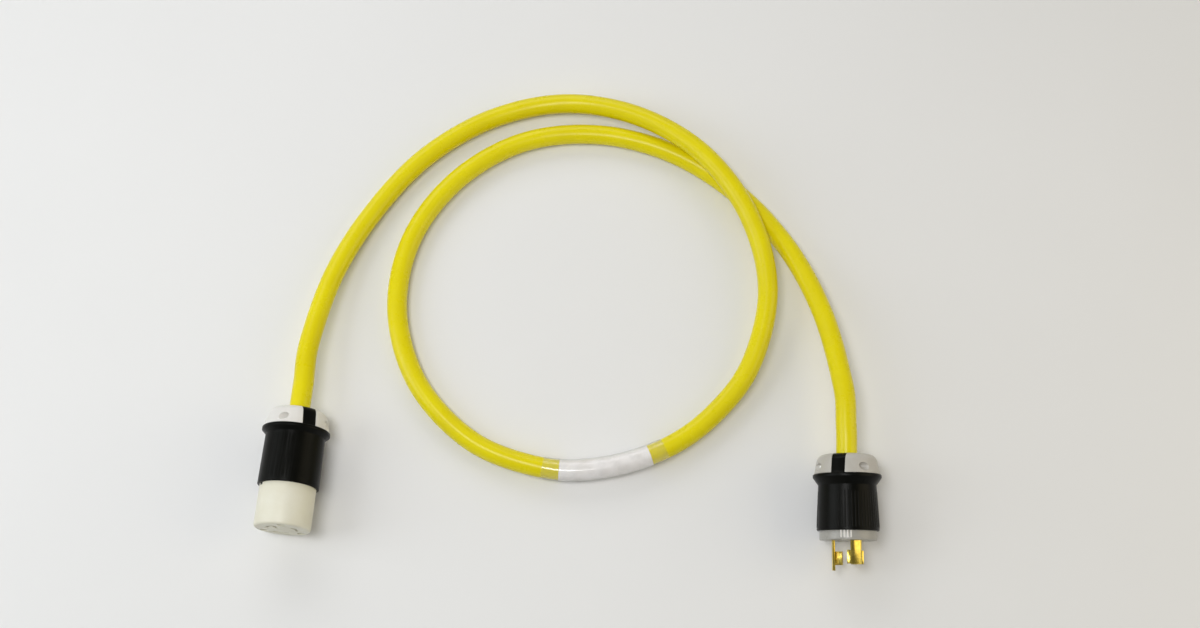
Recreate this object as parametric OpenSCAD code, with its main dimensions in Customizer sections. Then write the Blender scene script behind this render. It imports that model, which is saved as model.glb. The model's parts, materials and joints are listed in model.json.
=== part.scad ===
// Shore power cord: a thick yellow cord laid in one loose loop, with a locking connector on
// one end and a locking plug on the other. Millimetres, +Z up, resting on the plane z = 0.

/* [Cord] */
// Outside diameter of the yellow jacket
cord_d = 17.2; // [12:0.1:20]
// Jacket that shows between a cord clamp and the start of the free cord
cord_stub = 2; // [1:0.5:6]
// Straight length of cord behind each stub
cord_lead = 22; // [10:1:40]
// How far the jacket reaches past the shell's rear wall
jacket_inside = 1; // [0.5:0.5:3]
// Diameter of one insulated wire
wire_d = 4.5; // [3:0.1:5]
// Diameter of the bare copper of one wire
copper_d = 3; // [2:0.1:3.4]
// Thickness of the label that is wrapped round the cord
label_t = 0.2; // [0.1:0.05:0.4]
// Thickness of the clear sleeve that is shrunk over the label
sleeve_t = 0.4; // [0.2:0.05:0.6]
// Gap between the jacket, the label and the sleeve
wrap_gap = 0.1; // [0.05:0.05:0.2]

/* [Cord clamp] */
// Length of the domed clamp along the cord
clamp_len = 16.4; // [15:0.1:24]
// Diameter of the dome where it meets the flange
clamp_base_d = 54; // [50:0.5:55]
// Diameter of the flat top of the dome
clamp_top_d = 35.4; // [32:0.1:42]
// Radius of the dome's round shoulder
clamp_shoulder = 7; // [2:0.5:8]
// Width of the two arms between the jaws
arm_w = 10.9; // [9:0.1:13]
// Gap between a jaw and the arm or flange beside it
jaw_gap = 0.25; // [0.1:0.05:0.5]
// Gap between the jaw's grip ridges and the jacket
grip_gap = 0.25; // [0.1:0.05:0.5]
// Depth of the grooves between the grip ridges
grip_depth = 0.8; // [0.4:0.1:1.2]
// How far each jaw opens
jaw_travel = 1.6; // [0.8:0.1:2]
// Thread diameter of the clamp screws
clamp_screw_d = 3.5; // [3:0.1:4.5]
// Length of a clamp screw left past its nut when the jaws are open
clamp_screw_spare = 0.6; // [0.2:0.1:1]
// Distance of each clamp screw from the middle of the cord
clamp_screw_offset = 16.8; // [14.5:0.1:17]
// Distance of the clamp screws from the dome's flat top
clamp_screw_depth = 11; // [9:0.1:11.5]
// Diameter of a clamp screw's head
clamp_head_d = 6; // [5.5:0.1:7.4]
// Height of a clamp screw's head
clamp_head_h = 2.6; // [2:0.1:3]
// Distance from the cord's middle plane to the seat under a head or nut
clamp_seat = 10.4; // [9.5:0.1:11]
// Width of a clamp nut across its flats
nut_w = 6.4; // [6:0.1:7.2]
// Thickness of a clamp nut
nut_t = 3.2; // [3:0.1:4]

/* [Housing] */
// Diameter of the flange
flange_d = 56; // [55:0.5:60]
// Thickness of the flange's rim
flange_rim = 2.6; // [2:0.1:4]
// Diameter of the bore that holds the front body and the terminal block
shell_bore_d = 43.6; // [43:0.1:45]
// Thickness of the shell's rear wall
rear_wall = 4; // [3:0.1:6]
// Gap round the cord where it passes through the rear wall and the arms
cord_gap = 0.6; // [0.4:0.1:1]
// Length of the screw bosses behind the terminal block
boss_len = 20.3; // [19:0.1:23]
// Diameter of a screw boss
boss_d = 9; // [7:0.1:10]
// Thickness of the floor under the thread in a boss
boss_floor = 2; // [1:0.1:4]
// Edge chamfer of the shell
shell_edge = 0.6; // [0.2:0.1:0.8]

/* [Plug] */
// Length of the plug's shell behind and with its flange
plug_shell_len = 45.7; // [43:0.1:56]
// Length of the flare from the plug's flange to its tube
plug_flare_len = 6.2; // [4:0.1:9]
// Diameter of the plug's shell next to the flare
plug_rear_d = 47.4; // [46:0.1:52]
// Diameter of the plug's shell at its front rim
plug_front_d = 50.8; // [50:0.1:54]
// Diameter of the plug's face
plug_face_d = 46.4; // [45:0.1:49]
// Length of the plug's face that stands out of the shell
plug_face_len = 7.7; // [6:0.1:12]
// Length of the two line blades beyond the face
blade_len = 18.8; // [16:0.1:24]
// Length of the ground blade beyond the face
ground_len = 24.2; // [22:0.1:30]
// Diameter round the outside of the blades
blade_circle_d = 27; // [26:0.1:28]
// Thickness of a blade
blade_t = 1.9; // [1.4:0.1:2.2]
// Width of a blade along its arc
blade_w = 9.5; // [8:0.1:10.5]
// Width of the hook at the tip of a line blade
hook_w = 2.8; // [1.5:0.1:3.5]
// Length of the hook at the tip of a blade
hook_len = 11; // [8:0.1:14]
// How far the ground blade's tip stands past its hook
nib_setback = 4.5; // [2:0.1:6]
// Distance of the ground blade's inward hook from the axis
nib_reach = 5; // [4:0.1:7]
// How far the assembly screws' heads lie below the plug's face
head_sunk = 1.5; // [0.5:0.1:3]

/* [Connector] */
// Length of the connector's shell behind and with its flange
connector_shell_len = 48.5; // [45:0.1:58]
// Length of the flare from the connector's flange to its tube
connector_flare_len = 3.4; // [2:0.1:9]
// Diameter of the connector's shell next to the flare
connector_rear_d = 49; // [48:0.1:52]
// Diameter of the connector's shell at its front rim
connector_front_d = 50.2; // [49.5:0.1:53]
// Width of the key on the connector's front rim, which sits in a notch of the nose
key_w = 4; // [3:0.1:7]
// Length of the key on the connector's front rim
key_len = 1.8; // [1:0.1:3]
// Diameter of the connector's nose
nose_d = 46.2; // [45:0.1:49]
// Length of the nose that stands out of the shell
nose_len = 35; // [33:0.5:40]
// Radius of the nose's round front edge
nose_edge = 2; // [1:0.1:4]
// Thickness of the nose's front wall
nose_wall = 5; // [3:0.1:8]
// Gap round a blade in its slot
slot_gap = 0.4; // [0.3:0.05:0.6]
// Thickness of a spring contact's leaf
leaf_t = 0.8; // [0.5:0.1:1]
// Length of a spring contact's leaves
leaf_len = 24; // [18:0.5:25]
// Thickness of the bridge that joins a contact's leaves
bridge_t = 2; // [1:0.1:3]
// Room beside a contact in its chamber
chamber_play = 0.4; // [0.2:0.05:0.6]
// How far the assembly screws' seat lies behind the nose's shoulder
nose_seat_back = 4; // [2:0.1:5]

/* [Terminals] */
// Depth of the terminal block
block_len = 19; // [18.5:0.1:20]
// Diameter of a terminal screw's thread
terminal_screw_d = 4; // [3:0.1:4.4]
// Diameter of a terminal screw's head
terminal_head_d = 6.8; // [5.5:0.1:7.2]
// Height of a terminal screw's head
terminal_head_h = 2.2; // [1.6:0.1:2.4]
// How far a terminal screw's tip reaches into the block
terminal_tip = 1.4; // [0.8:0.1:2]
// Depth of the pocket for a terminal screw's tip
terminal_pocket = 3; // [2.5:0.1:4]
// Length of a blade's or contact's tail behind its screw
tail_len = 6; // [5:0.1:8]
// How far short of the block's front the bare copper ends
copper_short = 2; // [1:0.1:4]
// Width of a terminal's clamping plate
plate_w = 11; // [9:0.1:12]
// Thickness of a terminal's clamping plate
plate_t = 1.5; // [1:0.1:1.8]
// Width of the ribs between the terminals
rib_w = 9; // [8.5:0.1:9.5]
// Diameter of an assembly screw's thread
assembly_screw_d = 3.5; // [3:0.1:4]
// Diameter of an assembly screw's head
assembly_head_d = 6; // [5:0.1:6.4]
// Height of an assembly screw's head
assembly_head_h = 2.4; // [2:0.1:3]
// Distance of the assembly screws from the axis
assembly_radius = 17.6; // [17:0.1:18]
// Width of the slot across a screw's head
drive_w = 1; // [0.8:0.1:1.4]
// Depth of the slot across a screw's head
drive_depth = 1; // [0.6:0.1:1.4]
// Room left in a boss past its screw's tip
tip_room = 2; // [1:0.1:4]

/* [Fits] */
// Gap round a part that is only seated or located
seat_gap = 0.1; // [0.05:0.05:0.2]
// Gap round a screw in a clearance hole
screw_gap = 0.3; // [0.2:0.05:0.5]
// Gap round a screw in the thread that holds it
thread_gap = 0.05; // [0.02:0.01:0.08]
// Gap between the underside of a screw head and its seat
head_gap = 0.1; // [0.05:0.05:0.2]

/* [Layout] */
// Where the cord leaves the connector, left to right
connector_x = -225.5; // [-240:0.5:-215]
// Where the cord leaves the connector, front to back
connector_y = 64.5; // [60:0.5:76]
// Direction in which the connector points
connector_heading = -94.4; // [-100:0.1:-88]
// How far the connector's nose is raised
connector_raise = 2; // [0:0.5:3]
// Direction in which the connector's first jaw opens, seen from its front
connector_clamp_turn = 147; // [120:1:180]
// Direction of the connector's ground contact, seen from its front
connector_ground_turn = 142; // [0:1:360]
// Where the cord leaves the plug, left to right
plug_x = 227.8; // [215:0.1:240]
// Where the cord leaves the plug, front to back
plug_y = 26.4; // [20:0.1:36]
// Direction in which the plug points
plug_heading = -90.6; // [-98:0.1:-86]
// How far the plug's face is lowered
plug_lower = 7.5; // [3:0.5:9]
// Direction in which the plug's first jaw opens, seen from its front
plug_clamp_turn = 25; // [0:1:50]
// Direction of the plug's ground blade, seen from its front
plug_ground_turn = 189; // [0:1:360]

/* [Hidden] */
$fn = 96;

// The cord's route over the floor from the connector to the plug: x, y and the lift of the
// jacket's underside. It climbs over itself once, between the fifth and twelfth points.
route = [[-221, 128, 14], [-204, 193, 6], [-172, 254, 0], [-127, 306, 0], [-68, 342, 0],
    [-3, 354, 3], [62, 337, 11], [117, 297, 18], [155, 239, 18], [169, 173, 13],
    [153, 109, 5], [120, 66, 1], [79, 37, 1], [28, 21, 1], [-23, 21, 1],
    [-83, 44, 0], [-130, 94, 0], [-150, 159, 0], [-140, 225, 0], [-102, 281, 0],
    [-45, 317, 0], [21, 325, 0], [87, 308, 0], [145, 269, 0], [187, 216, 6],
    [214, 153, 17], [227, 86, 28]];
route_steps = 2;
cord_sides = 12;
// Sides of the circle that rounds the nose's front edge, three of them in its quarter turn
edge_sides = 12;
// How far a cut runs past its solid, and one shape into the next of the same piece
over = 1;
// Places along the route, in spans from its first point, where the sleeve and label end
sleeve_span = [14, 16];
label_span = [14.26, 15.74];

cord_r = cord_d / 2;
wire_r = wire_d / 2;
copper_r = copper_d / 2;
flange_r = flange_d / 2;
bore_r = shell_bore_d / 2;
clamp_bolt_r = clamp_screw_d / 2;
terminal_bolt_r = terminal_screw_d / 2;
assembly_bolt_r = assembly_screw_d / 2;

// Places along a device's axis, from the dome's flat top towards the face
wall_in = clamp_len + rear_wall;
block_back = wall_in + boss_len;
block_front = block_back + block_len;
plug_shell_front = clamp_len + plug_shell_len;
plug_face_front = plug_shell_front + plug_face_len;
connector_shell_front = clamp_len + connector_shell_len;
nose_front = connector_shell_front + nose_len;
jacket_end = wall_in + jacket_inside;
terminal_z = block_back + block_len / 2;
tail_back = terminal_z - tail_len;

// Radii of the blades, and of the pieces that are stacked on each blade's tail
blade_out = blade_circle_d / 2;
blade_in = blade_out - blade_t;
blade_mid = (blade_out + blade_in) / 2;
blade_half = blade_w / blade_mid * 90 / PI;
hook_turn = hook_w / blade_mid * 180 / PI;
slot_turn = slot_gap / blade_mid * 180 / PI;
seat_turn = seat_gap / blade_mid * 180 / PI;
wire_reach = blade_out + seat_gap + copper_r;
plate_in = wire_reach + copper_r + seat_gap;
plate_out = plate_in + plate_t;
wire_aside = terminal_bolt_r + screw_gap + copper_r;
wire_radius = sqrt(pow(wire_reach, 2) + pow(wire_aside, 2));
wire_turn = atan2(wire_aside, wire_reach);
// The three wires lie together in the jacket, just clear of each other
bundle_spread = 1.3;
bundle_r = wire_r * bundle_spread;
// A clamp screw reaches through both closed jaws and its nut, and stays in it when they open
clamp_screw_len = 2 * (clamp_seat + head_gap + jaw_travel) + nut_t + clamp_screw_spare;
// Grooves between the grip ridges: their starts and their width, as parts of the clamp's length
groove_starts = [0.12, 0.4, 0.68];
groove_part = 0.18;
// Where the seams of the round faces lie, from the ground terminal: clear of the edges of ribs
shell_seam = 210;
block_seam = 230;

// Each device lies on whichever of its rims comes lowest
plug_rise = max(
    clamp_len * sin(plug_lower) + flange_r * cos(plug_lower),
    (clamp_len + flange_rim) * sin(plug_lower) + flange_r * cos(plug_lower),
    plug_shell_front * sin(plug_lower) + plug_front_d / 2 * cos(plug_lower));
connector_rise = max(
    -clamp_len * sin(connector_raise) + flange_r * cos(connector_raise),
    -(nose_front - nose_edge) * sin(connector_raise) + nose_d / 2 * cos(connector_raise));

// Colours
jacket_yellow = "#e8d420";
nylon_black = "#1c1c1a";
nylon_white = "#e9e6dd";
nose_ivory = "#ebe6d2";
brass = "#c9a227";
steel = "#b9bcc0";

// ---------------------------------------------------------------- placing

module at_plug() {
    translate([plug_x, plug_y, plug_rise])
        rotate([90 + plug_lower, 0, plug_heading + 90])
            children();
}

module at_connector() {
    translate([connector_x, connector_y, connector_rise])
        rotate([90 - connector_raise, 0, connector_heading + 90])
            children();
}

// The three terminals: ground, hot and neutral, a third of a turn apart
module at_each_terminal(ground_turn) {
    for (i = [0:2])
        rotate([0, 0, ground_turn + 120 * i])
            children();
}

// ---------------------------------------------------------------- shared shapes

// A piece of a ring: radii, start and end angles, start and end along the axis
module arc_bar(inner, outer, from, to, z0, z1) {
    rotate([0, 0, from])
        rotate_extrude(angle = to - from)
            translate([inner, z0])
                square([outer - inner, z1 - z0]);
}

// The point where the dome's side leaves its round shoulder
shoulder_x = clamp_top_d / 2;
side_dx = clamp_base_d / 2 - shoulder_x;
side_dz = clamp_len - clamp_shoulder;
side_turn = atan2(side_dz, side_dx) - acos(clamp_shoulder / norm([side_dx, side_dz]));

module dome_section() {
    polygon([[0, 0], [shoulder_x, 0],
        [shoulder_x + clamp_shoulder * cos(side_turn), clamp_shoulder * (1 + sin(side_turn))],
        [clamp_base_d / 2, clamp_len], [0, clamp_len]]);
    translate([shoulder_x, clamp_shoulder])
        circle(r = clamp_shoulder);
}

module dome() {
    rotate_extrude()
        intersection() {
            dome_section();
            square([clamp_base_d, clamp_len]);
        }
}

// The cut across a screw's head whose top is at the height given
module drive_slot(head_d, top) {
    translate([-head_d, -drive_w / 2, top - drive_depth])
        cube([head_d * 2, drive_w, drive_depth + over]);
}

module both_clamp_screws() {
    for (side = [-1, 1])
        translate([0, side * clamp_screw_offset, clamp_screw_depth])
            rotate([0, 90, 0])
                children();
}

// ---------------------------------------------------------------- shell

module shell_section(shell_len, flare_len, rear_r, front_r) {
    front = clamp_len + shell_len;
    polygon([[0, clamp_len], [flange_r - shell_edge, clamp_len],
        [flange_r, clamp_len + shell_edge], [flange_r, clamp_len + flange_rim],
        [rear_r, clamp_len + flange_rim + flare_len], [front_r, front - shell_edge],
        [front_r - shell_edge, front], [bore_r, front], [bore_r, wall_in], [0, wall_in]]);
}

module shell_bosses(ground_turn) {
    at_each_terminal(ground_turn + 60)
        translate([assembly_radius, 0, wall_in])
            cylinder(h = boss_len, d = boss_d);
}

// The tube with its flange, the two arms of the cord clamp and the screw bosses
module shell(shell_len, flare_len, rear_d, front_d, clamp_turn, ground_turn) {
    difference() {
        union() {
            rotate([0, 0, ground_turn + shell_seam])
                rotate_extrude()
                    shell_section(shell_len, flare_len, rear_d / 2, front_d / 2);
            shell_bosses(ground_turn);
            rotate([0, 0, clamp_turn])
                intersection() {
                    dome();
                    translate([-arm_w / 2, -clamp_base_d, 0])
                        cube([arm_w, clamp_base_d * 2, clamp_len]);
                }
        }
        translate([0, 0, -over])
            cylinder(h = wall_in + over * 2, r = cord_r + cord_gap);
        rotate([0, 0, clamp_turn])
            both_clamp_screws()
                cylinder(h = arm_w * 2, r = clamp_bolt_r + screw_gap, center = true);
        at_each_terminal(ground_turn + 60)
            translate([assembly_radius, 0, wall_in + boss_floor])
                cylinder(h = boss_len, r = assembly_bolt_r + thread_gap);
    }
}

// ---------------------------------------------------------------- cord clamp

// One half of the dome. Its grip ridges close on the jacket.
module jaw() {
    ridge = cord_r + grip_gap;
    groove = ridge + grip_depth;
    inner_face = arm_w / 2 + jaw_gap;
    difference() {
        intersection() {
            dome();
            translate([inner_face, -clamp_base_d, 0])
                cube([clamp_base_d, clamp_base_d * 2, clamp_len - jaw_gap]);
        }
        translate([0, 0, -over])
            cylinder(h = clamp_len + over * 2, r = ridge);
        for (start = groove_starts)
            translate([0, 0, clamp_len * start])
                cylinder(h = clamp_len * groove_part, r = groove);
        both_clamp_screws()
            cylinder(h = clamp_base_d, r = clamp_bolt_r + screw_gap);
    }
}

// The jaw that holds the screw heads in round recesses
module head_jaw(turn) {
    rotate([0, 0, turn])
        difference() {
            jaw();
            both_clamp_screws()
                translate([0, 0, clamp_seat])
                    cylinder(h = clamp_base_d, r = clamp_head_d / 2 + screw_gap);
        }
}

// The opposite jaw, which holds the nuts in six-sided recesses
module nut_jaw(turn) {
    rotate([0, 0, turn + 180])
        difference() {
            jaw();
            both_clamp_screws()
                translate([0, 0, clamp_seat])
                    cylinder(h = clamp_base_d, r = (nut_w / 2 + seat_gap) / cos(30), $fn = 6);
        }
}

// Side 1 is the screw nearer the top arm, side -1 the other one
module clamp_screw(turn, side) {
    seat = clamp_seat + head_gap;
    rotate([0, 0, turn])
        translate([0, side * clamp_screw_offset, clamp_screw_depth])
            rotate([0, 90, 0])
                difference() {
                    union() {
                        translate([0, 0, seat - clamp_screw_len])
                            cylinder(h = clamp_screw_len + over, r = clamp_bolt_r);
                        translate([0, 0, seat])
                            cylinder(h = clamp_head_h, d = clamp_head_d);
                    }
                    drive_slot(clamp_head_d, seat + clamp_head_h);
                }
}

module clamp_nuts(turn) {
    rotate([0, 0, turn + 180])
        both_clamp_screws()
            translate([0, 0, clamp_seat + head_gap])
                difference() {
                    cylinder(h = nut_t, r = nut_w / 2 / cos(30), $fn = 6);
                    translate([0, 0, -over])
                        cylinder(h = nut_t + over * 2, r = clamp_bolt_r + thread_gap);
                }
}

// ---------------------------------------------------------------- terminals

// The block behind the front body: a core with three ribs and a seat for each tail
module terminal_block(ground_turn) {
    core = blade_in - seat_gap;
    rib_in = sqrt(pow(core, 2) - pow(rib_w / 2, 2)) - over;
    difference() {
        union() {
            rotate([0, 0, ground_turn + block_seam])
                translate([0, 0, block_back])
                    cylinder(h = block_len, r = core);
            intersection() {
                at_each_terminal(ground_turn + 60)
                    translate([rib_in, -rib_w / 2, block_back])
                        cube([bore_r - rib_in, rib_w, block_len]);
                cylinder(h = block_front + over, r = bore_r - seat_gap);
            }
        }
        at_each_terminal(ground_turn + 60)
            translate([assembly_radius, 0, block_back - over])
                cylinder(h = block_len + over * 2, r = assembly_bolt_r + screw_gap);
        at_each_terminal(ground_turn)
            translate([core - terminal_pocket, 0, terminal_z])
                rotate([0, 90, 0])
                    cylinder(h = terminal_pocket + over, r = terminal_bolt_r + screw_gap);
    }
}

module terminal_plates(ground_turn) {
    at_each_terminal(ground_turn)
        difference() {
            translate([plate_in, -plate_w / 2, terminal_z - plate_w / 2])
                cube([plate_t, plate_w, plate_w]);
            translate([plate_in - over, 0, terminal_z])
                rotate([0, 90, 0])
                    cylinder(h = plate_t + over * 2, r = terminal_bolt_r + screw_gap);
        }
}

module terminal_screws(ground_turn) {
    tip = blade_in - seat_gap - terminal_tip;
    top = plate_out + head_gap + terminal_head_h;
    at_each_terminal(ground_turn)
        translate([0, 0, terminal_z])
            rotate([0, 90, 0])
                difference() {
                    union() {
                        translate([0, 0, tip])
                            cylinder(h = top - tip - drive_depth, r = terminal_bolt_r);
                        translate([0, 0, plate_out + head_gap])
                            cylinder(h = terminal_head_h, d = terminal_head_d);
                    }
                    drive_slot(terminal_head_d, top);
                }
}

// The tail of a blade or contact, with the thread for its terminal screw
module tail(front, to = blade_half) {
    difference() {
        arc_bar(blade_in, blade_out, -blade_half, to, tail_back, front);
        translate([blade_in - over, 0, terminal_z])
            rotate([0, 90, 0])
                cylinder(h = blade_t + over * 2, r = terminal_bolt_r + thread_gap);
    }
}

module assembly_screws(ground_turn, seat) {
    tip = wall_in + boss_floor + tip_room;
    head = seat + head_gap;
    at_each_terminal(ground_turn + 60)
        translate([assembly_radius, 0, 0])
            difference() {
                union() {
                    translate([0, 0, tip])
                        cylinder(h = head - tip + over, r = assembly_bolt_r);
                    translate([0, 0, head])
                        cylinder(h = assembly_head_h, d = assembly_head_d);
                }
                drive_slot(assembly_head_d, head + assembly_head_h);
            }
}

// The cut for an assembly screw through a front body, wider in front of the head's seat
module screw_hole(seat, front) {
    translate([assembly_radius, 0, block_front - over])
        cylinder(h = front - block_front + over * 2, r = assembly_bolt_r + screw_gap);
    translate([assembly_radius, 0, seat])
        cylinder(h = front - seat + over, r = assembly_head_d / 2 + screw_gap);
}

// ---------------------------------------------------------------- tube faces

function flat_list(lists) = [for (l = lists) each l];

// Faces between ring a and ring b of a tube's corner list, two triangles to a side
function side_faces(a, b, sides) = flat_list([for (k = [0:sides - 1])
    let (n = (k + 1) % sides)
    [[a + k, a + n, b + n], [a + k, b + n, b + k]]]);
function cap_faces(a, sides) = [for (k = [1:sides - 2]) [a, a + k + 1, a + k]];
function flipped(faces) = [for (f = faces) [f[2], f[1], f[0]]];

// ---------------------------------------------------------------- wires

// An S bend of two equal arcs, from the bundle out to a terminal
wire_sides = 10;
arc_steps = 5;
wire_run = block_back - jacket_end;
bend_turn = 2 * atan((wire_radius - bundle_r) / wire_run);
bend_r = wire_run / 2 / sin(bend_turn);

// The lean of the wire at step k, and its distance from the axis and place along it
function lean(k) = bend_turn * min(k, 2 * arc_steps - k) / arc_steps;
function wire_out(k) = k <= arc_steps ? bundle_r + bend_r * (1 - cos(lean(k)))
    : wire_radius - bend_r * (1 - cos(lean(k)));
function wire_along(k) = k <= arc_steps ? jacket_end + bend_r * sin(lean(k))
    : block_back - bend_r * sin(lean(k));
function wire_ring(k) = [for (j = [0:wire_sides - 1])
    let (a = j * 360 / wire_sides, out = wire_r * cos(a))
    [wire_out(k) + out * cos(lean(k)), wire_r * sin(a), wire_along(k) - out * sin(lean(k))]];

module wire(turn) {
    last = 2 * arc_steps;
    rotate([0, 0, turn + wire_turn])
        polyhedron(
            points = flat_list([for (k = [0:last]) wire_ring(k)]),
            faces = flipped(concat(cap_faces(0, wire_sides),
                flipped(cap_faces(last * wire_sides, wire_sides)),
                flat_list([for (k = [0:last - 1])
                    side_faces(k * wire_sides, (k + 1) * wire_sides, wire_sides)]))));
}

module copper_ends(ground_turn) {
    at_each_terminal(ground_turn + wire_turn)
        translate([wire_radius, 0, block_back])
            cylinder(h = block_len - copper_short, r = copper_r);
}

module jacket() {
    translate([0, 0, -cord_stub])
        cylinder(h = cord_stub + jacket_end, r = cord_r);
}

// ---------------------------------------------------------------- plug

module plug_shell() {
    color(nylon_black)
        at_plug()
            shell(plug_shell_len, plug_flare_len, plug_rear_d, plug_front_d, plug_clamp_turn,
                plug_ground_turn);
}

face_seat = plug_face_front - head_sunk - assembly_head_h - head_gap;

module plug_face() {
    color(nylon_white)
        at_plug()
            difference() {
                union() {
                    translate([0, 0, block_front])
                        cylinder(h = plug_shell_front - block_front + over, r = bore_r - seat_gap);
                    rotate_extrude()
                        polygon([[0, plug_shell_front], [plug_face_d / 2, plug_shell_front],
                            [plug_face_d / 2, plug_face_front - shell_edge],
                            [plug_face_d / 2 - shell_edge, plug_face_front],
                            [0, plug_face_front]]);
                }
                at_each_terminal(plug_ground_turn)
                    arc_bar(blade_in - seat_gap, blade_out + seat_gap, -blade_half - seat_turn,
                        blade_half + seat_turn, block_front - over, plug_face_front + over);
                at_each_terminal(plug_ground_turn + 60)
                    screw_hole(face_seat, plug_face_front);
            }
}

// A line blade has a hook that runs on round the circle, and is narrower behind it
module line_blade(turn) {
    tip = plug_face_front + blade_len;
    color(brass)
        at_plug()
            rotate([0, 0, turn])
                difference() {
                    tail(tip, blade_half + hook_turn);
                    arc_bar(blade_in - over, blade_out + over, blade_half,
                        blade_half + hook_turn * 2, tail_back - over, tip - hook_len);
                }
}

// The ground blade is longer and its hook is turned in towards the axis
module plug_ground_blade() {
    tip = plug_face_front + ground_len;
    color(brass)
        at_plug()
            rotate([0, 0, plug_ground_turn])
                union() {
                    tail(tip);
                    rotate([0, 0, blade_half])
                        translate([nib_reach, -blade_t, tip - nib_setback - hook_len])
                            cube([blade_mid - nib_reach, blade_t, hook_len]);
                }
}

// ---------------------------------------------------------------- connector

key_in = bore_r + shell_edge / 2;
key_out = nose_d / 2 - seat_gap;

// The key on the shell's front rim, flush with the nose; reach is added all round for its notch
module rim_key(reach, open = 0) {
    rotate([0, 0, connector_clamp_turn])
        translate([key_in - reach, -key_w / 2 - reach, connector_shell_front - over])
            cube([key_out - key_in + reach + open, key_w + reach * 2, over + key_len + reach]);
}

module connector_shell() {
    color(nylon_black)
        at_connector()
            union() {
                shell(connector_shell_len, connector_flare_len, connector_rear_d,
                    connector_front_d, connector_clamp_turn, connector_ground_turn);
                rim_key(0);
            }
}

leaf_front = nose_front - nose_wall - seat_gap;
leaf_back = leaf_front - leaf_len;
chamber_in = blade_in - slot_gap - leaf_t - seat_gap;
chamber_out = blade_out + slot_gap + leaf_t + seat_gap;
play_turn = slot_turn + chamber_play / blade_mid * 180 / PI;
chamber_from = -blade_half - play_turn;
chamber_to = blade_half + hook_turn + play_turn;
// The assembly screws' seat stays in front of the terminal block in a short shell too
connector_seat = max(connector_shell_front - nose_seat_back, block_front + head_gap * 2);

// The nose holds the contacts in chambers that open behind, with a slot in front of each
module connector_nose() {
    color(nose_ivory)
        at_connector()
            difference() {
                union() {
                    translate([0, 0, block_front])
                        cylinder(h = connector_shell_front - block_front + over,
                            r = bore_r - seat_gap);
                    rotate_extrude() {
                        translate([0, connector_shell_front])
                            square([nose_d / 2, nose_len - nose_edge]);
                        translate([0, nose_front - nose_edge - over])
                            square([nose_d / 2 - nose_edge, nose_edge + over]);
                        translate([nose_d / 2 - nose_edge, nose_front - nose_edge])
                            circle(r = nose_edge, $fn = edge_sides);
                    }
                }
                at_each_terminal(connector_ground_turn)
                    mirror([0, 1, 0]) {
                        arc_bar(chamber_in, chamber_out, chamber_from, chamber_to,
                            block_front - over, nose_front - nose_wall);
                        arc_bar(blade_in - slot_gap, blade_out + slot_gap,
                            -blade_half - slot_turn, blade_half + hook_turn + slot_turn,
                            nose_front - nose_wall - over, nose_front + over);
                    }
                rotate([0, 0, connector_ground_turn])
                    mirror([0, 1, 0])
                        rotate([0, 0, blade_half + hook_turn])
                            translate([nib_reach - slot_gap, -blade_t - slot_gap * 2,
                                nose_front - nose_wall - hook_len])
                                cube([blade_in - nib_reach, blade_t + slot_gap * 2,
                                    nose_wall + hook_len + over]);
                at_each_terminal(connector_ground_turn + 60)
                    screw_hole(connector_seat, nose_front);
                rim_key(seat_gap, over);
            }
}

// Two leaves that wipe both sides of a blade, joined at the back by a bridge to the tail
module contact(turn) {
    color(brass)
        at_connector()
            rotate([0, 0, turn])
                mirror([0, 1, 0])
                    union() {
                        tail(leaf_back + bridge_t);
                        arc_bar(blade_in - slot_gap / 2 - leaf_t, blade_out + slot_gap / 2 + leaf_t,
                            -blade_half, blade_half, leaf_back, leaf_back + bridge_t);
                        arc_bar(blade_in - slot_gap / 2 - leaf_t, blade_in - slot_gap / 2,
                            -blade_half, blade_half, leaf_back, leaf_front);
                        arc_bar(blade_out + slot_gap / 2, blade_out + slot_gap / 2 + leaf_t,
                            -blade_half, blade_half, leaf_back, leaf_front);
                    }
}

// ---------------------------------------------------------------- free cord

// Unit vectors out of the back of each device
connector_back = [-cos(connector_heading) * cos(connector_raise),
    -sin(connector_heading) * cos(connector_raise), -sin(connector_raise)];
plug_back = [-cos(plug_heading) * cos(plug_lower),
    -sin(plug_heading) * cos(plug_lower), sin(plug_lower)];
connector_exit = [connector_x, connector_y, connector_rise] + connector_back * cord_stub;
plug_exit = [plug_x, plug_y, plug_rise] + plug_back * cord_stub;

// The route with the straight leads at its ends, and one point more at each end for direction
path = concat(
    [connector_exit - connector_back * cord_lead, connector_exit,
        connector_exit + connector_back * cord_lead],
    [for (p = route) [p[0], p[1], p[2] + cord_r]],
    [plug_exit + plug_back * cord_lead, plug_exit, plug_exit - plug_back * cord_lead]);
spans = len(path) - 3;

// A Catmull-Rom curve through the path's points, kept up on the floor
function curve(a, b, c, d, t) = (2 * b + (c - a) * t + (2 * a - 5 * b + 4 * c - d) * t * t
    + (3 * b - a - 3 * c + d) * t * t * t) / 2;
function grounded(p) = [p[0], p[1], max(p[2], cord_r)];
function on_path(i, t) = grounded(curve(path[i], path[i + 1], path[i + 2], path[i + 3], t));
rings = concat([for (i = [0:spans - 1]) for (k = [0:route_steps - 1]) on_path(i, k / route_steps)],
    [plug_exit]);

function unit(v) = v / norm(v);
function ring_along(i) = i == 0 ? connector_back
    : i == len(rings) - 1 ? -plug_back : unit(rings[i + 1] - rings[i - 1]);
function ring_side(i) = unit(cross([0, 0, 1], ring_along(i)));
function ring_up(i) = cross(ring_along(i), ring_side(i));
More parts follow.
